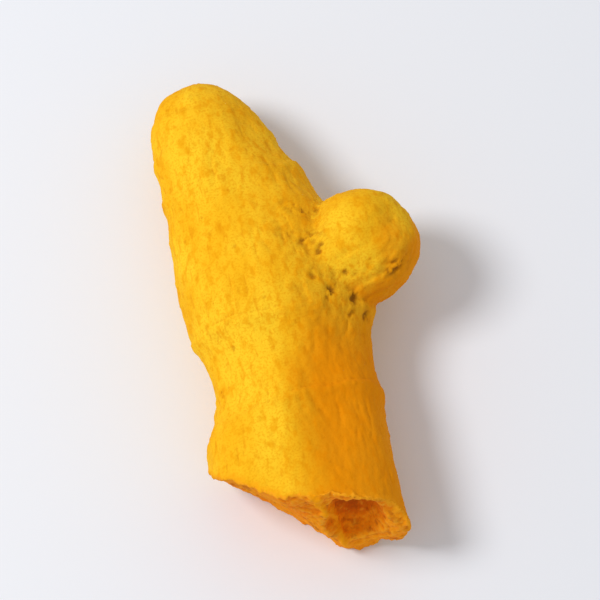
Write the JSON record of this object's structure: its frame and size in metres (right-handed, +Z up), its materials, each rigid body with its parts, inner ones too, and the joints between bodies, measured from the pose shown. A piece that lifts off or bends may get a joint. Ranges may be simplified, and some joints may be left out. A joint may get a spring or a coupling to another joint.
{
  "type": "turmeric root",
  "caption": "Dried turmeric root finger with a rounded tip, a stubby side bud, leaf-scar rings and a snapped base end, lying on its flattened underside.",
  "frame": {"origin": "on the surface that the root lies on, under the middle of its box", "axes": "+Y along the finger, from the snapped base end to the tip; +X towards the side bud; +Z up from the surface it lies on"},
  "size_m": [0.0242, 0.0468, 0.0137],
  "materials": {
    "turmeric_rind": "matte, dusted with turmeric powder"
  },
  "bodies": {
    "root": {"turmeric_root": "turmeric_rind"}
  },
  "joints": []
}
